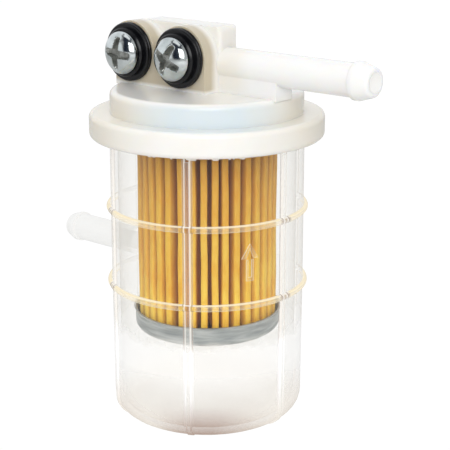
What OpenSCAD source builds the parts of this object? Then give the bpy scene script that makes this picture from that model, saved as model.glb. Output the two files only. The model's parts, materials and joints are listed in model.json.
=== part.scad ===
// In-line fuel filter: a clear bowl welded under a milky cap, with a pleated
// paper element inside and two screws in rubber grommets on the bracket block.
// Millimetres, +Z up. The origin is the centre of the bowl's flat underside.
// +X is the way the outlet points, -X the inlet, and the screws face -Y.

/* [Bowl] */
// Outer radius of the bowl's wall, from the rim down to the lower ring
bowl_r = 23.4; // [23.2:0.1:23.8]
// Outer radius of the wall just above the bottom corner
bowl_foot_r = 23.2; // [22.6:0.1:23.2]
// Thickness of the wall and the floor
bowl_wall = 1.8; // [1.4:0.1:2.0]
// Outer radius of the bottom corner
bowl_corner_r = 5; // [3.5:0.5:6]
// Height of the flange's underside, where the wall enters the cap
rim_z = 69.5; // [69:0.1:70]
// Height of the upper ring
upper_ring_z = 52.2; // [50:0.2:55]
// Height of the lower ring
lower_ring_z = 33.5; // [31:0.1:33.8]
// How far the two rings stand out of the wall
ring_rise = 1.05; // [0.7:0.05:1.2]
// Number of vertical ribs on the wall
rib_count = 6; // [4:1:8]
// Width of a rib
rib_w = 1.3; // [0.8:0.1:2]
// How far a rib stands out of the wall
rib_rise = 0.45; // [0.3:0.05:0.6]

/* [Cap] */
// Outer radius of the flange
flange_r = 28.2; // [27.5:0.05:30]
// Thickness of the flange
flange_t = 5.9; // [5:0.1:7]
// Radius of the raised disc on the flange
disc_r = 23.2; // [22.8:0.1:24]
// Height of the raised disc
disc_h = 5.4; // [4.5:0.1:6.5]
// Thickness of the upright slab that carries the bosses and the outlet
slab_t = 6.4; // [6:0.2:7.6]
// Height of the slab's top above the disc
slab_h = 15.2; // [15:0.1:17]
// Right-hand end of the slab
slab_right_x = 6.8; // [6.6:0.1:8]
// Radius of a screw boss
boss_r = 7.4; // [7:0.1:7.8]
// How far the bosses stand forward of the axis
boss_reach = 8; // [7.5:0.1:9]

/* [Ports] */
// Outer radius of the outlet tube
outlet_r = 3.85; // [3.6:0.05:4.3]
// Outer radius of the inlet tube
inlet_r = 3.45; // [3.2:0.05:3.6]
// Radius of the bore through either tube
port_bore_r = 2.2; // [1.8:0.1:2.4]
// Height of the outlet above the disc
outlet_h = 6.45; // [6.2:0.05:7.2]
// Height of the inlet
inlet_z = 38; // [37.9:0.1:44]
// Distance from the bowl's axis to the end of either tube
port_reach = 48; // [44:0.5:54]
// How far the outlet's barb stands out of its tube
barb_rise = 0.5; // [0.3:0.05:0.8]
// Length of the outlet's barb, from its shoulder to the tube's end
outlet_barb_l = 4.8; // [4:0.1:6]
// Length of the inlet's barb
inlet_barb_l = 4; // [3.4:0.1:6]

/* [Element] */
// Number of pleats
pleats = 36; // [30:1:50]
// Radius at the pleats' outer folds
pleat_r = 17.1; // [16.5:0.1:17.2]
// Thickness of the paper
paper_t = 0.5; // [0.3:0.05:0.6]
// Height of the lower end plate's underside
plate_z = 21.5; // [18:0.5:24]
// Height of the lower end plate's rim
plate_rim_h = 5; // [4:0.5:6]

/* [Hardware] */
// Distance between the two screws
screw_gap = 16.1; // [15.8:0.1:16.4]
// Position of the right-hand screw along X
screw_x = -1; // [-1.5:0.1:-0.5]
// Height of the screws above the disc
screw_h = 7.9; // [7.8:0.1:8.2]
// Radius of a screw's head
head_r = 5.15; // [4.9:0.05:5.5]
// Length of a screw under its head
shank_l = 7.8; // [7.4:0.1:7.8]
// Radius of a grommet's wide end
grommet_r = 7.05; // [6.8:0.05:7.3]
// Thickness of a grommet, from the screw's head to the boss
grommet_t = 2.9; // [2.8:0.1:3.2]

/* [Hidden] */
$fn = 96;

// Heights of the cap's levels
flange_top_z = rim_z + flange_t;
disc_top_z = flange_top_z + disc_h;
slab_top_z = disc_top_z + slab_h;
outlet_z = disc_top_z + outlet_h;
screw_z = disc_top_z + screw_h;

// The bowl's rim sits this deep in a groove under the flange
rim_depth = 2.5;
fit_gap = 0.05;
overlap = 0.5;

// Roundings of the cap
flange_round = 1.2;
disc_round = 1.4;
slab_round = 1.6;
slab_edge = 1;
web_t = slab_t - 0.4;
boss_wall_r = boss_r - 0.1;

// Inside of the cap: a recess, and a spigot that the element hangs on
recess_r = 20.4;
recess_z = disc_top_z - 3.8;
shoulder_r = 9;
spigot_r = 5.4;
spigot_end_z = rim_z - 7.5;
rise_bore_r = 2.7;

// The element, from the lower plate up
sheet_t = 0.5;
plate_r = 17.8;
plate_top_z = rim_z;
pack_low_z = plate_z + 2.5;
pack_high_z = plate_top_z - 1.8;
pleat_in_r = 9;
core_r = 8.6;
core_wall = 0.8;
collar_r = 7.4;
collar_l = 6;
seal_r = (collar_r - sheet_t - spigot_r) / 2;

// The tubes' barbs: a steep shoulder, a short straight land, then a taper to a rounded nose
barb_step = 0.15;
barb_land = 1;
barb_nose = 0.8;
inlet_barb_rise = barb_rise - 0.1;

// Screws, M6 with a pitch of 1
screw_r = 2.95;
thread_hole_r = 3;
sleeve_r = 4;
insert_r = 4.2;
insert_l = 5;
hole_l = 5.3;
left_x = screw_x - screw_gap;
face_y = -boss_reach;
head_y = face_y - grommet_t;

// Points on an arc about [x, y], from angle a to angle b
function arc(x, y, r, a, b, n = 8) =
    [for (i = [0 : n]) let (t = a + (b - a) * i / n) [x + r * cos(t), y + r * sin(t)]];

// A point at a radius and an angle
function polar(r, a) = [r * cos(a), r * sin(a)];

// Turned about +X instead of +Z
module along_x() rotate([0, 90, 0]) children();

// Turned about the line of a screw, starting at y and running to +Y
module along_screw(x, y) translate([x, y, screw_z]) rotate([-90, 0, 0]) children();

// A tube's outside, from its root to the barbed end
module nipple(r, rise, root_x, barb_l) {
    nose_r = r - 0.4;
    back_x = port_reach - barb_l;
    land_x = back_x + barb_step;
    along_x() rotate_extrude() polygon(concat(
        [[0, root_x], [r, root_x], [r, back_x], [r + rise, land_x], [r + rise, land_x + barb_land]],
        arc(nose_r - barb_nose, port_reach - barb_nose, barb_nose, 15, 90, 5),
        [[0, port_reach]]
    ));
}

module ring(z) {
    bead_r = 0.8;
    rotate_extrude() translate([bowl_r + ring_rise - bead_r, z]) circle(r = bead_r);
}

// The bowl's outer face turned into a solid, grown outwards by rise and cut off at top_z
module wall_solid(rise, top_z) {
    foot_r = bowl_foot_r + rise;
    rotate_extrude() polygon(concat(
        [[0, 0]],
        arc(foot_r - bowl_corner_r, bowl_corner_r, bowl_corner_r, -90, 0),
        [[bowl_r + rise, lower_ring_z], [bowl_r + rise, top_z], [0, top_z]]
    ));
}

// Vertical ribs, which run down round the corner to the underside
module ribs() {
    gap_below_bead = 1.6;
    intersection() {
        wall_solid(rib_rise, rim_z - gap_below_bead);
        for (i = [0 : rib_count - 1]) rotate([0, 0, i * 360 / rib_count])
            translate([bowl_r - bowl_corner_r, -rib_w / 2, 0])
                cube([bowl_corner_r + rib_rise + 1, rib_w, rim_z]);
    }
}

// A raised arrow on the wall, pointing up
module flow_arrow() {
    outline = [
        [0, 4.5], [2.1, 1], [0.9, 1], [0.9, -4.4],
        [-0.9, -4.4], [-0.9, 1], [-2.1, 1]
    ];
    arrow_angle = -24.5;
    arrow_z = 43.9;
    intersection() {
        rotate([0, 0, arrow_angle]) translate([bowl_r - 2, 0, arrow_z])
            rotate([90, 0, 90]) linear_extrude(4) difference() {
                polygon(outline);
                polygon([for (p = outline) [p[0] * 0.5, p[1] * 0.78 - 0.1]]);
            }
        cylinder(r = bowl_r + 0.4, h = rim_z);
    }
}

module bowl() color([0.86, 0.88, 0.86, 0.4]) {
    in_r = bowl_r - bowl_wall;
    in_foot_r = bowl_foot_r - bowl_wall;
    in_corner_r = bowl_corner_r - bowl_wall;
    difference() {
        union() {
            wall_solid(0, rim_z + rim_depth);
            ring(upper_ring_z);
            ring(lower_ring_z);
            ribs();
            flow_arrow();
            translate([0, 0, inlet_z]) mirror([1, 0, 0])
                nipple(inlet_r, inlet_barb_rise, bowl_r - bowl_wall - 1, inlet_barb_l);
        }
        rotate_extrude() polygon(concat(
            [[0, bowl_wall]],
            arc(in_foot_r - in_corner_r, bowl_corner_r, in_corner_r, -90, 0),
            [[in_r, lower_ring_z], [in_r, rim_z + 4], [0, rim_z + 4]]
        ));
        translate([0, 0, inlet_z]) mirror([1, 0, 0]) along_x()
            cylinder(r = port_bore_r, h = port_reach + 1);
    }
}

// The upright slab: its left end follows the boss, its right end has softened corners
module slab() intersection() {
    low_z = disc_top_z - overlap;
    left = left_x - boss_wall_r;
    half_t = slab_t / 2;
    translate([0, half_t, 0]) rotate([90, 0, 0]) linear_extrude(slab_t) polygon(concat(
        [[left, low_z], [slab_right_x, low_z]],
        arc(slab_right_x - slab_round, slab_top_z - slab_round, slab_round, 0, 90),
        arc(left_x, slab_top_z - boss_wall_r, boss_wall_r, 90, 180, 12)
    ));
    translate([0, 0, low_z]) linear_extrude(slab_h + 1) polygon(concat(
        [[left, half_t], [left, -half_t]],
        arc(slab_right_x - slab_edge, slab_edge - half_t, slab_edge, -90, 0, 5),
        arc(slab_right_x - slab_edge, half_t - slab_edge, slab_edge, 0, 90, 5)
    ));
}

// Two round bosses, on one wall that runs down to the disc
module bosses() {
    length = boss_reach - slab_t / 2 + overlap;
    wall_h = screw_h - 1.3;
    for (x = [left_x, screw_x]) along_screw(x, face_y) cylinder(r = boss_r, h = length);
    translate([left_x - boss_wall_r, face_y, disc_top_z - overlap])
        cube([screw_gap + 2 * boss_wall_r, length, wall_h + overlap]);
}

module cap() color([0.93, 0.92, 0.88, 0.9]) difference() {
    union() {
        rotate_extrude() polygon(concat(
            [[0, rim_z]],
            arc(flange_r - flange_round, rim_z + flange_round, flange_round, -90, 0, 6),
            arc(flange_r - flange_round, flange_top_z - flange_round, flange_round, 0, 90, 6),
            [[disc_r, flange_top_z]],
            arc(disc_r - disc_round, disc_top_z - disc_round, disc_round, 0, 90, 6),
            [[0, disc_top_z]]
        ));
        intersection() {
            union() {
                slab();
                bosses();
                // Web under the outlet
                translate([0, -web_t / 2, disc_top_z - overlap])
                    cube([disc_r, web_t, outlet_h + overlap]);
            }
            cylinder(r = disc_r + 0.6, h = slab_top_z + 1);
        }
        translate([0, 0, outlet_z]) nipple(outlet_r, barb_rise, slab_right_x - overlap, outlet_barb_l);
        translate([0, 0, spigot_end_z]) cylinder(r = spigot_r, h = rim_z - spigot_end_z + 1);
    }
    // Groove for the bowl's rim
    rotate_extrude() translate([bowl_r - bowl_wall - fit_gap, rim_z - 1])
        square([bowl_wall + 2 * fit_gap, rim_depth + 1 + fit_gap]);
    // Recess round the spigot's shoulder
    rotate_extrude() polygon([
        [shoulder_r, rim_z + fit_gap], [spigot_r, rim_z + fit_gap], [spigot_r, rim_z - 1],
        [recess_r, rim_z - 1], [recess_r, recess_z], [shoulder_r, recess_z]
    ]);
    // Way out: up the spigot, then along the outlet
    translate([0, 0, spigot_end_z - 1])
        cylinder(r = rise_bore_r, h = outlet_z + port_bore_r - spigot_end_z + 1);
    translate([0, 0, outlet_z]) along_x() cylinder(r = port_bore_r, h = port_reach + 1);
    // Pockets for the threaded inserts
    for (x = [left_x, screw_x]) {
        along_screw(x, face_y - 1) cylinder(r = insert_r, h = insert_l + 1);
        along_screw(x, face_y - 1) cylinder(r = thread_hole_r, h = hole_l + 1);
    }
}

module weld_bead() color([0.9, 0.86, 0.78]) {
    low_r = bowl_r + fit_gap;
    bead = 1.3;
    rotate_extrude() polygon(concat(
        [[low_r, rim_z - bead], [low_r, rim_z]],
        arc(low_r, rim_z, bead, 0, -75, 5)
    ));
}

module paper_element() color([0.85, 0.66, 0.28]) {
    step = 360 / pleats;
    in_r = pleat_in_r;
    // A fold's flat width, as a share of a pleat, and the paper's depth at a fold's point
    flat = 0.14;
    fold_t = 2.4 * paper_t;
    // The paper's two faces, folded to and fro
    outside = [for (i = [0 : pleats - 1]) each [
        polar(pleat_r, (i - flat / 2) * step), polar(pleat_r, (i + flat / 2) * step),
        polar(in_r + paper_t, (i + 0.5) * step)
    ]];
    inside = [for (i = [0 : pleats - 1]) each [
        polar(pleat_r - fold_t, i * step),
        polar(in_r, (i + 0.5 - flat / 2) * step), polar(in_r, (i + 0.5 + flat / 2) * step)
    ]];
    translate([0, 0, pack_low_z]) linear_extrude(pack_high_z - pack_low_z) difference() {
        polygon(outside);
        polygon(inside);
    }
}

module centre_tube() color([0.75, 0.75, 0.72]) difference() {
    length = pack_high_z - pack_low_z;
    rows = 6;
    translate([0, 0, pack_low_z]) cylinder(r = core_r, h = length);
    translate([0, 0, pack_low_z - 1]) cylinder(r = core_r - core_wall, h = length + 2);
    for (row = [0 : rows - 1], a = [0 : 60 : 120])
        translate([0, 0, pack_low_z + length * (row + 0.5) / rows]) rotate([90, 0, a + 30 * (row % 2)])
            translate([0, 0, -core_r - 1]) cylinder(r = 1.6, h = 2 * core_r + 2);
}

module upper_end_plate() color([0.6, 0.62, 0.63]) difference() {
    union() {
        translate([0, 0, pack_high_z]) cylinder(r = plate_r, h = plate_top_z - pack_high_z);
        translate([0, 0, plate_top_z - collar_l]) cylinder(r = collar_r, h = collar_l);
    }
    rotate_extrude() translate([collar_r, pack_high_z - 1])
        square([plate_r - sheet_t - collar_r, plate_top_z - sheet_t - pack_high_z + 1]);
    translate([0, 0, plate_top_z - collar_l - 1]) cylinder(r = collar_r - sheet_t, h = collar_l + 2);
}

module lower_end_plate() color([0.6, 0.62, 0.63]) {
    round_r = 1.6;
    top_z = plate_z + plate_rim_h;
    lip = 0.4;
    rotate_extrude() polygon(concat(
        [[0, plate_z]],
        arc(plate_r - round_r, plate_z + round_r, round_r, -90, 0, 6),
        [[plate_r, top_z - 0.8], [plate_r + lip, top_z], [plate_r + lip - sheet_t, top_z]],
        [[plate_r - sheet_t, top_z - 0.8]],
        arc(plate_r - round_r, plate_z + round_r, round_r - sheet_t, 0, -90, 6),
        [[0, plate_z + sheet_t]]
    ));
}

module upper_potting() color([0.35, 0.3, 0.2])
    translate([0, 0, pack_high_z]) difference() {
        cylinder(r = plate_r - sheet_t - fit_gap, h = plate_top_z - sheet_t - pack_high_z);
        translate([0, 0, -1]) cylinder(r = collar_r + fit_gap, h = 4);
    }

module lower_potting() color([0.35, 0.3, 0.2]) {
    inner_round = 1.2;
    r = plate_r - sheet_t - fit_gap;
    low_z = plate_z + sheet_t;
    rotate_extrude() polygon(concat(
        [[0, low_z]],
        arc(r - inner_round, low_z + inner_round, inner_round, -90, 0, 5),
        [[r, pack_low_z], [0, pack_low_z]]
    ));
}

module spigot_seal() color([0.1, 0.1, 0.1])
    rotate_extrude() translate([spigot_r + seal_r, plate_top_z - 4]) circle(r = seal_r);

module insert(x) color([0.75, 0.6, 0.3]) difference() {
    along_screw(x, face_y) cylinder(r = insert_r, h = insert_l);
    along_screw(x, face_y - 1) cylinder(r = thread_hole_r, h = insert_l + 2);
}

module sleeve(x) color([0.7, 0.71, 0.72]) difference() {
    along_screw(x, head_y) cylinder(r = sleeve_r, h = grommet_t);
    along_screw(x, head_y - 1) cylinder(r = thread_hole_r + fit_gap, h = grommet_t + 2);
}

// A grommet's outline runs from the head: a collar, then two round lips
module grommet(x) color([0.09, 0.09, 0.1]) {
    collar = 1.2;
    collar_edge_r = 5.9;
    lip = (grommet_t - collar) / 4;
    groove = 0.25;
    along_screw(x, head_y) rotate_extrude() polygon(concat(
        [[sleeve_r, 0], [collar_edge_r - 0.3, 0], [collar_edge_r, 0.3], [collar_edge_r, collar]],
        arc(grommet_r - lip, collar + lip, lip, -90, 60, 6),
        [[grommet_r - lip - groove, collar + 2 * lip]],
        arc(grommet_r - lip, collar + 3 * lip, lip, -60, 90, 6),
        [[sleeve_r, grommet_t]]
    ));
}

module screw(x) color([0.75, 0.77, 0.79]) {
    rim_h = 1.5;
    dome_h = 1.5;
    dome_r = (head_r * head_r + dome_h * dome_h) / (2 * dome_h);
    dome_a = asin(head_r / dome_r);
    slot_w = 1.2;
    slot_l = 6;
    difference() {
        union() {
            along_screw(x, head_y) cylinder(r = screw_r, h = shank_l - 0.6);
            along_screw(x, head_y + shank_l - 0.6) cylinder(r1 = screw_r, r2 = screw_r - 0.6, h = 0.6);
            along_screw(x, head_y) rotate_extrude() polygon(concat(
                [[0, 0], [head_r - 0.2, 0], [head_r, -0.2]],
                [for (i = [0 : 8]) let (a = dome_a * (1 - i / 8))
                    [dome_r * sin(a), -rim_h - dome_r * cos(a) + dome_r * cos(dome_a)]]
            ));
        }
        // Cross recess, narrowing inwards
        along_screw(x, head_y - rim_h - dome_h - 0.1) intersection() {
            for (a = [0, 90]) rotate([0, 0, a + 8]) translate([-slot_l / 2, -slot_w / 2, 0])
                cube([slot_l, slot_w, 2.4]);
            cylinder(r1 = slot_l / 2, r2 = 0.9, h = 2.4);
        }
    }
}

bowl();
cap();
weld_bead();
paper_element();
centre_tube();
upper_end_plate();
lower_end_plate();
upper_potting();
lower_potting();
spigot_seal();
insert(left_x);  // insert_left
insert(screw_x);  // insert_right
sleeve(left_x);  // sleeve_left
sleeve(screw_x);  // sleeve_right
grommet(left_x);  // grommet_left
grommet(screw_x);  // grommet_right
screw(left_x);  // screw_left
screw(screw_x);  // screw_right
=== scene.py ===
"""A clear in-line fuel filter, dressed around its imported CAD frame. Lengths are in metres."""
import json
import math
import random

import bmesh
import bpy
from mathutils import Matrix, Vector, noise

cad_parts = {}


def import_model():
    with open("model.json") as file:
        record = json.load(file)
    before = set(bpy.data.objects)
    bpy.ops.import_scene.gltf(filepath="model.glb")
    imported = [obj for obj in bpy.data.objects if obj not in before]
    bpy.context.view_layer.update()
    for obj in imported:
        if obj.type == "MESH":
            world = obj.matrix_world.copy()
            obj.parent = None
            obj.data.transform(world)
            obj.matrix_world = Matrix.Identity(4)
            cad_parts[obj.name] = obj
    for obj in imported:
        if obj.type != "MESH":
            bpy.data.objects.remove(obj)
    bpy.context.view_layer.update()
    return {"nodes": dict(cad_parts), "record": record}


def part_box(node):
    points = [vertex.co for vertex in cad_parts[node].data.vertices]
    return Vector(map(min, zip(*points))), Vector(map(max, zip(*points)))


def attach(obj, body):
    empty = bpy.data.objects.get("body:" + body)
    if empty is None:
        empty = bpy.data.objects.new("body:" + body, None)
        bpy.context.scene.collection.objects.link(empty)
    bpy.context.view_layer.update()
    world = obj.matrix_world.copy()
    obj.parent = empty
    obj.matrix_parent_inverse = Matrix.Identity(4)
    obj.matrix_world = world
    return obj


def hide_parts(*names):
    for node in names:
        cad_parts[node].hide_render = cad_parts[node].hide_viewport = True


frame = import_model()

MM = 0.001

# The weld bead lies round the bowl's wall, under the cap's flange, and stands out from the wall this far
BEAD_REACH = 1.35 * MM
BEAD_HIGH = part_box("weld_bead")[1]
RIM_Z = BEAD_HIGH.z
BOWL_R = BEAD_HIGH.x - BEAD_REACH

PAPER_LOW, PAPER_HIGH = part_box("paper_element")

# The outlet's axis stands this far over the flat top of the cap's disc
OUTLET_RISE = 6.45 * MM
OUTLET = next(mount for mount in frame["record"]["mounts"] if mount["name"] == "outlet_barb")
OUTLET_Z = OUTLET["pos_m"][2]
DISC_Z = OUTLET_Z - OUTLET_RISE

# Level directions: from the axis towards the camera's side, and away from it
FRONT_WAY = (0.65, -0.76, 0)
BACK_WAY = tuple(-part for part in FRONT_WAY)

# The bowl's six ribs stand evenly round the wall, the first on +X
RIB_STEP = math.pi / 3

# The screws' heads bear on the grommets' outer faces
GROMMET_FACE_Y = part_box("grommet_left")[0].y

# The bowl is frosted up to a line this far over the low edge of the lower end plate, and its foot carries a
# painted shadow round a point on its front wall
FROST_RISE = 2.3 * MM
FROST_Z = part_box("lower_end_plate")[0].z + FROST_RISE
FOOT_SHADOW_SPOT = (14 * MM, -16 * MM, 5 * MM)


# ---------------------------------------------------------------- mesh helpers

def mesh_object(name, points, faces, smooth=True):
    """A new object from points and faces, with its normals turned outwards."""
    mesh = bpy.data.meshes.new(name)
    mesh.from_pydata(points, [], faces)
    shape = bmesh.new()
    shape.from_mesh(mesh)
    bmesh.ops.recalc_face_normals(shape, faces=shape.faces)
    shape.to_mesh(mesh)
    shape.free()
    mesh.polygons.foreach_set("use_smooth", [smooth] * len(mesh.polygons))
    piece = bpy.data.objects.new(name, mesh)
    bpy.context.scene.collection.objects.link(piece)
    return piece


def directions(count):
    """Evenly spaced angles, right round a circle."""
    return [2 * math.pi * i / count for i in range(count)]


def loop_sheet(rows):
    """Points and faces of a sheet that closes on itself, from rows of equally many points."""
    count = len(rows[0])
    points = [p for row in rows for p in row]
    faces = []
    for r in range(len(rows) - 1):
        for i in range(count):
            j = (i + 1) % count
            a, b = r * count, (r + 1) * count
            faces.append((a + i, a + j, b + j, b + i))
    return points, faces


# ------------------------------------------------------------ material helpers

class Look:
    """The node tree of a material or of the world, with short calls to add and join nodes."""

    def __init__(self, owner, output="OutputMaterial"):
        owner.use_nodes = True
        self.owner = owner
        self.tree = owner.node_tree
        self.tree.nodes.clear()
        self.output = self.add(output)

    def add(self, kind, **inputs):
        """A new node, with its inputs set or joined by name."""
        node = self.tree.nodes.new("ShaderNode" + kind)
        for key, value in inputs.items():
            self.set(node, key.replace("_", " "), value)
        return node

    def set(self, node, key, value):
        """Joins a socket to an input, or gives the input a plain value."""
        socket = node.inputs[key]
        if isinstance(value, bpy.types.NodeSocket):
            self.tree.links.new(value, socket)
        else:
            socket.default_value = value

    def finish(self, shader):
        """Shows a shader on the surface and returns the material or world."""
        self.set(self.output, "Surface", shader)
        return self.owner

    # Numbers

    def math(self, operation, first, second=0.0):
        node = self.add("Math")
        node.operation = operation
        self.set(node, 0, first)
        self.set(node, 1, second)
        return node.outputs[0]

    def times(self, first, *others):
        for other in others:
            first = self.math("MULTIPLY", first, other)
        return first

    def plus(self, first, *others):
        for other in others:
            first = self.math("ADD", first, other)
        return first

    def minus(self, first, second):
        return self.math("SUBTRACT", first, second)

    def larger(self, first, second):
        return self.math("MAXIMUM", first, second)

    def scale(self, value, low, high, new_low, new_high):
        """A value carried from one range to another, and held inside it."""
        node = self.add("MapRange", Value=value)
        limits = {"From Min": low, "From Max": high, "To Min": new_low, "To Max": new_high}
        for key, number in limits.items():
            node.inputs[key].default_value = number
        return node.outputs["Result"]

    def rise(self, value, off, on):
        """Nothing at one value and one at another, which may be the smaller."""
        return self.scale(value, off, on, 0, 1)

    def band(self, value, middle, half):
        """One at a middle value, falling to nothing at half a width on either side."""
        off = self.math("ABSOLUTE", self.minus(value, middle))
        return self.scale(off, 0, half, 1, 0)

    def limited(self, value):
        """A value held between 0 and 1."""
        return self.add("Clamp", Value=value).outputs["Result"]

    # Vectors and places

    def place(self):
        """Coordinates fixed to the object, in metres."""
        return self.add("TexCoord").outputs["Object"]

    def split(self, vector):
        """A vector's three parts."""
        return self.add("SeparateXYZ", Vector=vector).outputs

    def level(self, x, y):
        """A vector in the plane of two parts."""
        return self.add("CombineXYZ", X=x, Y=y).outputs[0]

    def vector(self, operation, first, second=None):
        """One vector sum; a length, a distance or a dot product comes out as a number."""
        node = self.add("VectorMath")
        node.operation = operation
        self.set(node, 0, first)
        if second is not None:
            self.set(node, 1, second)
        number = operation in ("LENGTH", "DISTANCE", "DOT_PRODUCT")
        return node.outputs["Value" if number else "Vector"]

    # Patterns

    def noise(self, scale, detail, vector=None, stretch=None):
        """Cloudy noise from 0 to 1, stretched along each axis if need be."""
        vector = vector or self.place()
        if stretch:
            vector = self.add("Mapping", Vector=vector, Scale=stretch).outputs["Vector"]
        return self.add("TexNoise", Vector=vector, Scale=scale, Detail=detail).outputs["Fac"]

    def wavering(self, value, scale, width):
        """A value that wavers by a width from place to place."""
        return self.plus(value, self.times(self.minus(self.noise(scale, 3), 0.5), width))

    def bump(self, height, strength, distance):
        return self.add("Bump", Height=height, Strength=strength, Distance=distance).outputs["Normal"]

    # Colours and shaders

    def ramp(self, value, *stops):
        """A colour ramp from (position, colour) stops."""
        node = self.add("ValToRGB", Fac=value)
        elements = node.color_ramp.elements
        while len(elements) < len(stops):
            elements.new(0.5)
        for element, (position, colour) in zip(elements, stops):
            element.position = position
            element.color = rgba(*colour)
        return node.outputs["Color"]

    def tone(self, amount, first, second):
        """The second colour over the first, by an amount."""
        node = self.add("Mix")
        node.data_type = "RGBA"

        # A Mix node has sockets for every type of value under the same names; these are the colour ones
        first_socket, second_socket, colour_out = 6, 7, 2
        self.set(node, 0, amount)
        self.set(node, first_socket, first)
        self.set(node, second_socket, second)
        return node.outputs[colour_out]

    def coats(self, colour, *layers):
        """A colour under layers of (amount, colour), the last one on top."""
        for amount, coat in layers:
            colour = self.tone(amount, colour, coat)
        return colour

    def principled(self, **inputs):
        return self.add("BsdfPrincipled", **inputs).outputs[0]

    def glowing(self, **inputs):
        return self.add("Emission", **inputs).outputs[0]

    def blend(self, amount, first, second):
        """The second shader over the first, by an amount."""
        node = self.add("MixShader")
        self.set(node, 0, amount)
        self.set(node, 1, first)
        self.set(node, 2, second)
        return node.outputs[0]


def new_look(name):
    """The empty node tree of a new material."""
    return Look(bpy.data.materials.new(name))


def grey(v):
    return (v, v, v)


def rgba(r, g, b):
    return (r, g, b, 1)


def dress(piece, material):
    """Puts one material on a piece."""
    piece.data.materials.clear()
    piece.data.materials.append(material)


# ------------------------------------------------------------------ materials

class BowlMasks:
    """Where the bowl's wall changes, and how it is seen there, as numbers from 0 to 1."""

    def __init__(self, look):
        place = look.place()
        x, y, z = look.split(place)
        level = look.level(x, y)
        radius = look.vector("LENGTH", level)
        outward = look.vector("NORMALIZE", level)
        surface = look.add("NewGeometry")
        normal = surface.outputs["Normal"]
        up = look.split(normal)[2]
        path = look.add("LightPath")

        # How the wall is seen: from outside its skin, edge-on, as the nearest wall, or by a shadow's ray
        self.outside = look.minus(1.0, surface.outputs["Backfacing"])
        self.facing = look.add("LayerWeight", Blend=0.5).outputs["Facing"]
        self.near = look.scale(path.outputs["Transparent Depth"], 1.5, 2.5, 1, 0)
        self.shadow_ray = path.outputs["Is Shadow Ray"]

        # How the skin leans: off the wall's own radius, or upwards
        along_radius = look.math("ABSOLUTE", look.vector("DOT_PRODUCT", normal, outward))
        self.slant = look.minus(1.0, along_radius)
        self.lit_top = look.rise(up, 0.5, 0.85)

        # The inlet tube, and what stands out from the wall: ribs and arrow, and the rings still further
        self.tube = look.rise(x, -BOWL_R - 0.3 * MM, -BOWL_R - 0.9 * MM)
        self.raised = look.rise(radius, BOWL_R + 0.05 * MM, BOWL_R + 0.3 * MM)
        self.ring = look.rise(radius, BOWL_R + 0.45 * MM, BOWL_R + 0.6 * MM)
        # Where the raised parts face downwards, shade is painted
        self.under = look.times(self.raised, look.rise(up, -0.1, -0.4))

        # The frosted lower part, its milky foot, a white veil that fades out towards the foot, and how far
        # the foot is from its painted shadow
        frost_line = look.wavering(z, 260, 9 * MM)
        self.frost = look.rise(frost_line, FROST_Z + 1.6 * MM, FROST_Z - 1.6 * MM)
        self.foot = look.rise(z, 11 * MM, 2 * MM)
        veil_line = look.wavering(z, 300, 6 * MM)
        veil = look.rise(veil_line, FROST_Z + 0.6 * MM, FROST_Z - 0.6 * MM)
        self.veil = look.times(veil, look.rise(z, 9 * MM, 16 * MM))
        self.off_foot_shadow = look.rise(look.vector("DISTANCE", place, FOOT_SHADOW_SPOT), 3 * MM, 15 * MM)

        # Painted highlights on each rib's edges and painted dark lines beside them, by the distance from
        # its middle
        turn = look.math("FRACT", look.plus(look.math("DIVIDE", look.math("ARCTAN2", y, x), RIB_STEP), 0.5))
        off_rib = look.math("ABSOLUTE", look.times(look.minus(turn, 0.5), RIB_STEP * BOWL_R))
        outer_face = look.rise(radius, BOWL_R - 0.5 * MM, BOWL_R - 0.3 * MM)
        self.rib_highlight = look.times(look.band(off_rib, 0.62 * MM, 0.36 * MM), outer_face)
        self.rib_shade_line = look.times(look.band(off_rib, 1.05 * MM, 0.27 * MM), outer_face)
        self.arrow = look.times(self.raised, look.rise(off_rib, 1.5 * MM, 2 * MM))


def bowl_relief(look, on):
    """How milky the raised parts are: most on their slopes, the rings' tops and the ribs' edges, where the
    milk paints highlights, and less on their undersides, where it paints shade.
    """
    flank = look.times(on.slant, look.scale(on.under, 0, 1, 0.8, 0.3))
    relief = look.times(on.raised, look.plus(0.16, flank))
    relief = look.larger(relief, look.times(on.arrow, 0.1))
    relief = look.times(relief, look.minus(1.0, on.ring))
    side_on = look.times(look.rise(on.facing, 0.1, 0.35), look.scale(on.under, 0, 1, 0.38, 0))
    ring_milk = look.plus(0.24, look.times(on.lit_top, 0.6), side_on)
    edge_milk = look.scale(on.facing, 0.5, 0.8, 0.92, 0.1)
    line_milk = look.scale(on.facing, 0.55, 0.8, 0.66, 0.1)
    for mask, milk in ((on.ring, ring_milk), (on.rib_highlight, edge_milk), (on.rib_shade_line, line_milk)):
        relief = look.larger(relief, look.times(mask, milk))
    relief = look.times(relief, look.scale(on.outside, 0, 1, 0.15, 1))
    # A painted highlight along the arrow's sloping walls
    outline = look.times(on.arrow, on.slant, look.scale(on.outside, 0, 1, 0.5, 1))
    return look.larger(relief, outline)


def bowl_milk(look, on):
    """How much of the milk covers the clear wall."""
    edge_on = look.times(look.math("POWER", on.facing, 2.2), 0.42)
    milk = look.plus(0.008, look.times(edge_on, on.near), look.times(bowl_relief(look, on), on.near))
    for mask, share in ((on.frost, 0.14), (on.veil, 0.27), (on.foot, 0.4)):
        milk = look.plus(milk, look.times(mask, share))
    milk = look.larger(milk, look.times(on.tube, look.larger(on.near, 0.3)))
    return look.limited(milk)


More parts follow.
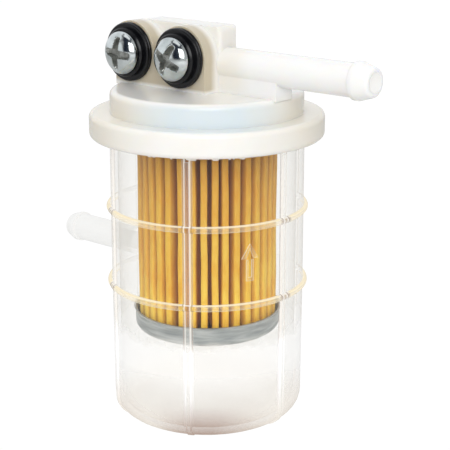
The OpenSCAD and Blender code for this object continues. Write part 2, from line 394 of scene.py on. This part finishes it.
def bowl_tint(look, on):
    """The milk's colour, from the plain wall to the raised and frosted parts, with painted highlights on
    the rings' tops and the ribs' edges, painted dark lines beside the ribs, painted shade under the raised
    parts, and painted shade on the foot round a painted shadow.
    """
    near_ring = look.times(on.ring, on.near)
    tan = look.times(near_ring, look.scale(on.facing, 0.15, 0.6, 1, 0))
    lit_ring = look.times(on.ring, on.lit_top, look.scale(on.facing, 0.75, 0.9, 1, 0.3))
    foot_shade = look.plus(look.scale(on.off_foot_shadow, 0, 1, 0.3, 0.7), look.times(look.noise(90, 3), 0.25))
    foot_tint = look.ramp(foot_shade, (0.42, (0.40, 0.27, 0.21)), (0.85, (0.86, 0.81, 0.74)))
    return look.coats(
        rgba(0.79, 0.775, 0.73),
        (on.raised, rgba(0.90, 0.88, 0.84)),
        (near_ring, rgba(0.57, 0.52, 0.41)),
        (tan, rgba(0.54, 0.36, 0.20)),
        # Painted shade under the raised parts
        (look.times(on.under, on.near), rgba(0.50, 0.36, 0.22)),
        # Painted highlight on the rings' tops
        (lit_ring, rgba(0.97, 0.94, 0.87)),
        # Painted highlights on the ribs' edges, and painted dark lines beside them
        (on.rib_highlight, rgba(1.0, 0.97, 0.92)),
        (on.rib_shade_line, rgba(0.40, 0.31, 0.26)),
        (on.arrow, rgba(1.0, 0.90, 0.66)),
        (look.times(on.frost, 0.9), rgba(1.0, 1.0, 1.0)),
        # Painted shade on the foot, darkest round the painted shadow's point
        (on.foot, foot_tint),
        (on.tube, rgba(0.90, 0.90, 0.89)),
    )


def clear_plastic():
    """Clear moulded plastic: milky where it is raised, seen edge-on or frosted, and in the tube, with a
    painted glow in its milk.
    """
    look = new_look("clear_plastic")
    on = BowlMasks(look)
    milk_amount = bowl_milk(look, on)
    tint = bowl_tint(look, on)
    skin = look.principled(Base_Color=tint, Roughness=0.25)
    soft_light = look.add("BsdfTranslucent", Color=tint).outputs[0]
    # The milk's painted glow, which is no lamp: stronger in the veil, weaker edge-on
    strength = look.scale(look.minus(on.veil, on.facing), 0, 1, 1.1, 1.22)
    painted_glow = look.glowing(Color=tint, Strength=strength)
    milk = look.blend(0.5, look.blend(0.4, skin, soft_light), painted_glow)
    clear = look.add("BsdfTransparent", Color=rgba(0.99, 0.99, 0.985)).outputs[0]
    shine = look.add("BsdfGlossy", Roughness=0.06).outputs[0]
    shine_amount = look.plus(0.014, look.times(look.math("POWER", on.facing, 5.0), on.near, 0.3))
    body = look.blend(shine_amount, look.blend(milk_amount, clear, milk), shine)
    shade = look.add("BsdfTransparent", Color=rgba(0.95, 0.95, 0.94)).outputs[0]
    see_through = look.times(on.shadow_ray, look.minus(1.0, on.tube))
    return look.finish(look.blend(see_through, body, shade))


def cap_tint(look, x, y, z):
    """Milky white, with painted shade in cream on the front of the block, painted cool light on the front
    of the disc's side, painted warm shade round the sides away from the front, and paler on the pipe.
    """
    white = look.ramp(look.noise(60, 4), (0.3, (0.86, 0.845, 0.80)), (0.7, (0.89, 0.88, 0.855)))
    above_disc = look.rise(z, DISC_Z + 0.2 * MM, DISC_Z + 1 * MM)
    forward = look.scale(y, -3.95 * MM, -5.8 * MM, 0.1, 1)
    level = look.level(x, y)
    toward = look.vector("DOT_PRODUCT", look.vector("NORMALIZE", level), FRONT_WAY)
    rim = look.rise(look.vector("LENGTH", level), 21 * MM, 22 * MM)
    side = look.times(rim, look.rise(z, DISC_Z, DISC_Z - 1 * MM))
    disc_side = look.times(side, look.rise(z, RIM_Z + 5.6 * MM, RIM_Z + 6.1 * MM))
    return look.coats(
        white,
        # Painted shade in cream on the front of the block, round the grommets
        (look.times(above_disc, forward, 0.9), rgba(0.54, 0.47, 0.34)),
        # Painted cool light on the front of the disc's side
        (look.times(disc_side, look.scale(toward, 0.45, 0.95, 0, 0.85)), rgba(0.66, 0.74, 0.78)),
        # Painted warm shade round the sides, away from the front
        (look.times(side, look.scale(toward, 0.95, 0.55, 0, 0.72)), rgba(0.80, 0.75, 0.64)),
        (look.times(above_disc, look.rise(x, 12 * MM, 16 * MM)), rgba(0.875, 0.875, 0.87)),
    )


def milky_plastic():
    """Milky nylon, with light in its depth, a smooth skin, soft edges and a painted glow inside the
    outlet's bore.
    """
    look = new_look("milky_plastic")
    x, y, z = look.split(look.place())
    up = look.split(look.add("NewGeometry").outputs["Normal"])[2]
    edges = look.add("Bevel", Radius=0.35 * MM)
    ripple = look.add("Bump", Height=look.noise(350, 2), Distance=0.05 * MM, Normal=edges.outputs["Normal"])
    look.set(ripple, "Strength", look.scale(up, 0.9, 0.99, 0.12, 0.01))
    skin = look.principled(
        Base_Color=cap_tint(look, x, y, z),
        IOR=1.5,
        Roughness=look.scale(up, 0.9, 0.99, 0.22, 0.13),
        Subsurface_Weight=0.4,
        Subsurface_Scale=1.5 * MM,
        Subsurface_Radius=(1.0, 0.8, 0.55),
        Normal=ripple.outputs["Normal"],
    )
    # A painted glow in the outlet's bore, which is no lamp
    bore_r = 2.2 * MM
    off_axis = look.vector("LENGTH", look.level(y, look.minus(z, OUTLET_Z)))
    painted_bore_glow = look.scale(off_axis, bore_r + 0.1 * MM, bore_r, 0, 0.75)
    painted_bore_glow = look.times(painted_bore_glow, look.rise(x, 10 * MM, 12 * MM))
    painted_glow = look.glowing(Color=rgba(1.0, 0.99, 0.96), Strength=0.9)
    return look.finish(look.blend(painted_bore_glow, skin, painted_glow))


def filter_paper():
    """Golden resin-treated paper with fine fibres, browner in its folds, partly the resin's tint and partly
    painted shade, and with a painted shadow of the cap towards its top.
    """
    look = new_look("filter_paper")
    x, y, z = look.split(look.place())
    radius = look.vector("LENGTH", look.level(x, y))
    fibre = look.noise(900, 5, stretch=(1, 1, 0.35))
    grain = look.plus(look.times(fibre, 0.4), look.times(look.noise(70, 3), 0.6))
    gold = look.ramp(grain, (0.4, (0.90, 0.47, 0.036)), (0.6, (1.0, 0.68, 0.09)))
    brown = look.ramp(grain, (0.35, (0.56, 0.26, 0.10)), (0.65, (0.66, 0.32, 0.12)))
    # Browner deeper in the folds: partly the resin's tint, partly painted shade in the folds
    depth = look.rise(radius, PAPER_HIGH.x - 0.3 * MM, PAPER_HIGH.x - 3.6 * MM)
    # Painted shadow of the cap: darker towards the top
    painted_cap_shadow = look.scale(z, PAPER_LOW.z + 6 * MM, PAPER_HIGH.z, 0, 0.72)
    painted_cap_shadow_tint = look.tone(depth, rgba(0.60, 0.255, 0.028), rgba(0.42, 0.18, 0.095))
    tint = look.tone(painted_cap_shadow, look.tone(depth, gold, brown), painted_cap_shadow_tint)
    weave = look.bump(fibre, 0.4, 0.08 * MM)
    return look.finish(look.principled(Base_Color=tint, Roughness=0.75, Normal=weave))


def plate_metal():
    """Pressed tinplate with a mottled grey skin."""
    look = new_look("plate_metal")
    mottle = look.noise(220, 6, stretch=(0.6, 0.6, 5))
    return look.finish(look.principled(
        Base_Color=look.ramp(mottle, (0.35, (0.30, 0.325, 0.33)), (0.65, (0.52, 0.545, 0.54))),
        Metallic=0.5,
        Roughness=look.scale(mottle, 0.3, 0.7, 0.55, 0.38),
        Normal=look.bump(mottle, 0.3, 0.05 * MM),
    ))


def bright_zinc():
    """Bright zinc plate with a slight ripple and faint smears."""
    look = new_look("bright_zinc")
    smear = look.noise(300, 4)
    return look.finish(look.principled(
        Base_Color=look.ramp(smear, (0.3, (0.44, 0.48, 0.48)), (0.7, (0.68, 0.72, 0.72))),
        Metallic=1.0,
        Roughness=look.scale(smear, 0.3, 0.7, 0.07, 0.16),
        Normal=look.bump(look.noise(330, 3), 0.4, 0.09 * MM),
    ))


def shaded_recess_zinc():
    """The darker, rougher plate inside a cross recess; the darkness is painted shade in the recess."""
    look = new_look("shaded_recess_zinc")
    smear = look.noise(700, 4)
    return look.finish(look.principled(
        Base_Color=look.ramp(smear, (0.35, (0.20, 0.205, 0.19)), (0.65, (0.42, 0.43, 0.41))),
        Metallic=0.85,
        Roughness=look.scale(smear, 0.3, 0.7, 0.38, 0.26),
        Normal=look.bump(smear, 0.4, 0.05 * MM),
    ))


def black_rubber():
    """Glossy black rubber with a fine grain."""
    look = new_look("black_rubber")
    grain = look.noise(1500, 3)
    return look.finish(look.principled(
        Base_Color=look.ramp(grain, (0.3, (0.002, 0.002, 0.003)), (0.7, (0.005, 0.0055, 0.007))),
        Roughness=0.26,
        IOR=1.38,
        Normal=look.bump(grain, 0.2, 0.02 * MM),
    ))


def turned_brass():
    """Brass with fine lines round it from the lathe."""
    look = new_look("turned_brass")
    lines = look.noise(900, 3, stretch=(1, 6, 1))
    return look.finish(look.principled(
        Base_Color=look.ramp(lines, (0.3, (0.62, 0.44, 0.17)), (0.7, (0.83, 0.64, 0.31))),
        Metallic=1.0,
        Roughness=look.scale(lines, 0.3, 0.7, 0.22, 0.38),
    ))


def core_plastic():
    """The perforated core's greyish plastic."""
    look = new_look("core_plastic")
    tint = look.ramp(look.noise(200, 3), (0.3, (0.55, 0.55, 0.52)), (0.7, (0.66, 0.66, 0.63)))
    return look.finish(look.principled(Base_Color=tint, Roughness=0.45))


def potting():
    """The dark set adhesive in the end plates."""
    look = new_look("potting")
    cloud = look.noise(300, 4)
    return look.finish(look.principled(
        Base_Color=look.ramp(cloud, (0.3, (0.10, 0.075, 0.04)), (0.7, (0.16, 0.12, 0.07))),
        Roughness=0.35,
        Normal=look.bump(cloud, 0.4, 0.2 * MM),
    ))


def flash_plastic():
    """The white, slightly glossy plastic of the weld's flash."""
    look = new_look("flash_plastic")
    tint = look.ramp(look.noise(300, 3), (0.3, (0.80, 0.77, 0.72)), (0.7, (0.90, 0.88, 0.85)))
    return look.finish(look.principled(Base_Color=tint, Roughness=0.25))


LOOKS = {
    "clear_plastic": clear_plastic(),
    "milky_plastic": milky_plastic(),
    "core_plastic": core_plastic(),
    "plate_metal": plate_metal(),
    "potting": potting(),
    "black_rubber": black_rubber(),
    "brass": turned_brass(),
    "zinc_steel": bright_zinc(),
    "filter_paper": filter_paper(),
}


# --------------------------------------------------------------------- pieces

# Directions of the outer folds that face forward, in degrees; the others follow evenly
FRONT_FOLDS = (-126, -112, -101.5, -92, -82.5, -71, -61, -51.5, -42.5, -34, -24, -13.5, -3.5, 7, 17, 27)
FOLD_COUNT = 36

# Half of a fold's tip in plan, from its flank to its flat face: how far behind the face, and how far to
# the side as a share of the half width
HALF_TIP = ((2.6 * MM, 0.8), (0.35 * MM, 1), (0.08 * MM, 0.85), (0, 0.5))
FOLD_TIP = [(depth, -side) for depth, side in HALF_TIP] + [(0, 0)] + list(reversed(HALF_TIP))

# The paper's side seam shows as a shallower valley after this fold
SEAM_FOLD = FRONT_FOLDS.index(-71)


def fold_angles():
    """One direction for each outer fold, right round the element."""
    random.seed(5)
    rest = FOLD_COUNT - len(FRONT_FOLDS)
    gap = (FRONT_FOLDS[0] + 360 - FRONT_FOLDS[-1]) / (rest + 1)
    others = [FRONT_FOLDS[-1] + gap * (i + 1) + random.uniform(-1, 1) for i in range(rest)]
    return [math.radians(a) for a in list(FRONT_FOLDS) + others]


def paper_row(angles, z):
    """The folded paper's outline at one height, with each fold a little off its place."""
    half_tip = 0.8 * MM
    valley_r, seam_valley_r = 9.3 * MM, 14.6 * MM
    half_valley = math.radians(0.48)
    sideways, side_wave = 0.16 * MM, 9 * MM
    inset, in_and_out, in_wave = 0.25 * MM, 0.2 * MM, 14 * MM
    row = []
    for i, angle in enumerate(angles):

        # Each fold follows its own line through the noise, so no two waver alike
        sway = sideways * noise.noise(Vector((i * 3.7, 0, z / side_wave)))
        tip_r = PAPER_HIGH.x - inset + in_and_out * noise.noise(Vector((i * 5.1, 9, z / in_wave)))
        outward = Vector((math.cos(angle), math.sin(angle), 0))
        across = Vector((-outward.y, outward.x, 0))
        for depth, side in FOLD_TIP:
            p = outward * (tip_r - depth) + across * (side * half_tip + sway)
            row.append((p.x, p.y, z))
        following = angles[(i + 1) % FOLD_COUNT]
        valley = angle + ((following - angle) % (2 * math.pi)) / 2
        r = seam_valley_r if i == SEAM_FOLD else valley_r
        for a in (valley - half_valley, valley + half_valley):
            row.append((r * math.cos(a), r * math.sin(a), z))
    return row


def pleated_paper():
    """The folded paper: flat-tipped pleats that waver a little from top to bottom."""
    levels = 22
    angles = fold_angles()
    tall = PAPER_HIGH.z - PAPER_LOW.z
    heights = [PAPER_LOW.z + tall * k / levels for k in range(levels + 1)]
    points, faces = loop_sheet([paper_row(angles, z) for z in heights])
    piece = mesh_object("pleated_paper", points, faces)
    sheet = piece.modifiers.new("sheet", "SOLIDIFY")
    sheet.thickness = 0.35 * MM
    sheet.offset = -1
    dress(piece, LOOKS["filter_paper"])
    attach(piece, "filter")
    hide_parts("paper_element")


# The weld has most flash a little right of the front
FLASH_ANGLE = math.radians(-38)


def flash_size(angle):
    """How far the flash is squeezed out in one direction: small at the back, with blobs along the front."""
    way = Vector((math.cos(angle), math.sin(angle), 0))
    front = max(0, math.cos(angle - FLASH_ANGLE)) ** 2
    long_blobs, short_blobs = noise.noise(way * 13.5), noise.noise(way * 51)
    blob = max(0, 0.1 + 0.3 * front + long_blobs + 0.6 * short_blobs)
    plain, back_blob, front_blob = 0.2 * MM, 0.56 * MM, 1.04 * MM
    return plain + (back_blob + front_blob * front) * blob


def weld_flash():
    """The squeezed-out weld under the flange: a narrow bead with uneven blobs along its front."""
    around = 420
    steps = 7
    gap = 0.03 * MM
    inner = BOWL_R + gap
    deepest = 1.2 * MM
    sizes = [(a, flash_size(a)) for a in directions(around)]
    rows = []
    for k in range(steps + 1):
        turn = math.radians(-90 + 90 * k / steps)
        row = []
        for a, size in sizes:
            radius = inner + min(size, BEAD_HIGH.x - inner) * math.cos(turn)
            height = RIM_Z + min(size, deepest) * math.sin(turn)
            row.append((radius * math.cos(a), radius * math.sin(a), height))
        rows.append(row)
    points, faces = loop_sheet(rows)
    piece = mesh_object("weld_flash", points, faces)
    dress(piece, flash_plastic())
    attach(piece, "filter")
    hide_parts("weld_bead")


# The M6 screws: points in a ring, how far the head's dome and rounded edge reach back, and the thread
SCREW_SIDES = 144
DOME = 2.9 * MM
EDGE = 0.35 * MM
PITCH = 1.0 * MM
THREAD_R, CORE_R = 2.95 * MM, 2.5 * MM

# Edges sharper than this angle stay crisp, and the recess is darker, with painted shade, and rougher from
# this depth down
SHARP_EDGE = math.radians(38)
RECESS_SHADE_DEPTH = 0.2 * MM


def recess_depth(x, z, turn):
    """How deep a cross recess is at a point of a screw's face: four tapering arms, turned from upright."""
    arm_half, arm_reach, full = 1.0 * MM, 4.1 * MM, 1.9 * MM
    side_wall, end_slope = 0.35 * MM, 1.3 * MM
    root_width, taper = 1.12, 0.35
    u = abs(x * math.cos(turn) + z * math.sin(turn))
    v = abs(z * math.cos(turn) - x * math.sin(turn))
    deepest = 0
    for along, across in ((u, v), (v, u)):
        half = arm_half * (root_width - taper * along / arm_reach)
        wall = min(1, max(0, (half - across) / side_wall))
        slope = min(1, max(0, (arm_reach - along) / end_slope))
        deepest = max(deepest, full * wall * slope * (1 - taper * along / arm_reach))
    return deepest


def screw_ring(radius, height):
    """A plain ring of a screw's points; its height counts from the face to the tip."""
    return [(radius * math.cos(a), height, radius * math.sin(a)) for a in directions(SCREW_SIDES)]


def head_rows(head_r, thick, turn):
    """Rings over a head's domed face with its recess, and round its edge to the underside."""
    rings = 46
    first_ring = 0.4
    bulge = 0.95
    edge_steps = 4
    rows = []
    for k in range(rings):
        radius = head_r * (k + first_ring) / rings
        rise = DOME * (1 - math.sqrt(1 - bulge * (radius / head_r) ** 2))
        row = []
        for a in directions(SCREW_SIDES):
            x, z = radius * math.cos(a), radius * math.sin(a)
            row.append((x, rise + recess_depth(x, z, turn), z))
        rows.append(row)
    for step in range(edge_steps + 1):
        bend = math.radians(90 * step / edge_steps)
        radius = head_r - EDGE * (1 - math.cos(bend))
        rows.append(screw_ring(radius, thick - EDGE + EDGE * math.sin(bend)))
    return rows


def thread_rows(start, length):
    """Rings down a rolled thread, which deepens from the head and narrows at the tip."""
    run_out, tip_taper = 0.8 * MM, 0.7 * MM
    tip_share = 0.82
    rows_in_pitch = 10
    steps = int(length / (PITCH / rows_in_pitch))
    rows = [screw_ring(THREAD_R, start)]
    for k in range(1, steps + 1):
        below = length * k / steps
        height = start + below
        depth = (THREAD_R - CORE_R) * min(1, below / run_out)
        narrow = tip_share + (1 - tip_share) * min(1, (length - below) / tip_taper)
        row = []
        for i, a in enumerate(directions(SCREW_SIDES)):
            phase = (height / PITCH - i / SCREW_SIDES) % 1.0
            radius = (THREAD_R - depth * abs(2 * phase - 1)) * narrow
            row.append((radius * math.cos(a), height, radius * math.sin(a)))
        rows.append(row)
    return rows


def pan_screw(name, node, body, turn, recess_look):
    """A pan head screw with a cross recess and a rolled thread, which looks along -Y."""
    low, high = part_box(node)
    face = (low + high) / 2
    face.y = low.y
    thick = GROMMET_FACE_Y - low.y
    length = high.y - GROMMET_FACE_Y
    rows = head_rows((high.x - low.x) / 2, thick, turn) + thread_rows(thick, length)
    points, faces = loop_sheet(rows)

    # A fan of triangles closes the recess's floor, and another the tip
    floor_point, tip_point = len(points), len(points) + 1
    points.append((0, recess_depth(0, 0, turn), 0))
    points.append((0, thick + length, 0))
    last_row = (len(rows) - 1) * SCREW_SIDES
    for i in range(SCREW_SIDES):
        j = (i + 1) % SCREW_SIDES
        faces.append((i, j, floor_point))
        faces.append((last_row + j, last_row + i, tip_point))
    points = [(face.x + x, face.y + y, face.z + z) for x, y, z in points]
    piece = mesh_object(name, points, faces)
    piece.data.set_sharp_from_angle(angle=SHARP_EDGE)
    dress(piece, LOOKS["zinc_steel"])

    # The recess takes the second material slot's darker metal, with painted shade
    piece.data.materials.append(recess_look)
    for polygon in piece.data.polygons:
        spot = polygon.center - face
        if spot.y < thick - EDGE and recess_depth(spot.x, spot.z, turn) > RECESS_SHADE_DEPTH:
            polygon.material_index = 1
    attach(piece, body)
    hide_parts(node)


def dress_nodes():
    """Gives every CAD node its material."""
    for part in frame["record"]["subparts"]:
        dress(frame["nodes"][part["node"]], LOOKS[part["material_slot"]])


# ---------------------------------------------------------------------- stage

def way_to(azimuth, elevation):
    """The direction from the object to a place round it. Azimuth 0 is in front, at -Y, and 90 is at +X."""
    a, e = math.radians(azimuth), math.radians(elevation)
    return Vector((math.sin(a) * math.cos(e), -math.cos(a) * math.cos(e), math.sin(e)))


def turn_to(thing, way):
    """Turns a camera or a lamp to look along a direction."""
    thing.rotation_mode = "QUATERNION"
    thing.rotation_quaternion = way.to_track_quat("-Z", "Y")


def camera():
    """The camera in front, to the right and a little above, with a long lens."""
    azimuth, elevation = 40.5, 14.15
    distance = 0.3169
    aim_right, aim_up = 4.3 * MM, 58.0 * MM
    lens = bpy.data.cameras.new("camera")
    lens.lens = 104.5
    lens.sensor_width = 36
    lens.shift_y = -0.1
    eye = bpy.data.objects.new("camera", lens)
    back = way_to(azimuth, elevation)
    right = Vector((math.cos(math.radians(azimuth)), math.sin(math.radians(azimuth)), 0))
    eye.location = right * aim_right + Vector((0, 0, aim_up)) + back * distance
    turn_to(eye, -back)
    bpy.context.scene.collection.objects.link(eye)
    bpy.context.scene.camera = eye


def floor():
    """A plain floor: white where the camera looks at it, paler than white in its bounced light."""
    look = new_look("floor")
    tint = look.ramp(look.noise(3, 2), (0.3, grey(0.72)), (0.7, grey(0.75)))
    half = 4.0
    corners = [(-half, -half, 0), (half, -half, 0), (half, half, 0), (-half, half, 0)]
    piece = mesh_object("floor", corners, [(0, 1, 2, 3)], smooth=False)
    sheet = look.principled(Base_Color=tint, Roughness=0.9)
    bright = look.glowing(Strength=1.02)
    seen = look.add("LightPath").outputs["Is Camera Ray"]
    dress(piece, look.finish(look.blend(seen, sheet, bright)))


def lamp(name, azimuth, elevation, distance, size, power):
    """A soft square lamp that faces the middle of the object."""
    middle = Vector((0, 0, 50 * MM))
    data = bpy.data.lights.new(name, "AREA")
    data.size = size
    data.energy = power
    light = bpy.data.objects.new(name, data)
    back = way_to(azimuth, elevation)
    light.location = middle + back * distance
    turn_to(light, -back)
    bpy.context.scene.collection.objects.link(light)


def world():
    """White to the eye, a dimmer room for soft light, and dark and bright panels for reflections."""
    scene_world = bpy.data.worlds.new("studio")
    bpy.context.scene.world = scene_world
    look = Look(scene_world, "OutputWorld")

    def background(colour):
        return look.add("Background", Color=colour).outputs[0]

    way = look.add("TexCoord").outputs["Generated"]
    away = look.vector("DOT_PRODUCT", way, BACK_WAY)
    room = background(look.ramp(away, (0.0, grey(0.52)), (0.5, grey(1.0))))
    sideways = look.plus(look.times(look.noise(2.2, 1.5, vector=way), 0.9), look.split(way)[0])
    panels = background(look.ramp(
        sideways,
        (0.0, (0.95, 0.98, 1.0)),
        (0.12, grey(0.42)),
        (0.3, (0.012, 0.016, 0.03)),
        (0.8, (0.03, 0.04, 0.06)),
        (0.95, grey(0.5)),
    ))
    far_wall = background(rgba(0.95, 0.97, 1))
    reflected = look.blend(look.rise(away, 0.1, 0.45), panels, far_wall)
    path = look.add("LightPath")
    surface = look.blend(path.outputs["Is Glossy Ray"], room, reflected)
    look.finish(look.blend(path.outputs["Is Camera Ray"], surface, background(rgba(1, 1, 1))))


def lights():
    """The room, a key lamp in front on the right, and a weak one overhead."""
    world()
    lamp("key", azimuth=42, elevation=28, distance=0.8, size=0.5, power=3.4)
    lamp("top", azimuth=0, elevation=80, distance=0.8, size=0.5, power=0.8)


camera()
floor()
lights()
dress_nodes()
pleated_paper()
weld_flash()
recess_look = shaded_recess_zinc()
pan_screw("pan_screw_left", "screw_left", "screw_left", math.radians(-6), recess_look)
pan_screw("pan_screw_right", "screw_right", "screw_right", math.radians(-28), recess_look)

# Plain colours, with no film curve over them
bpy.context.scene.view_settings.view_transform = "Standard"
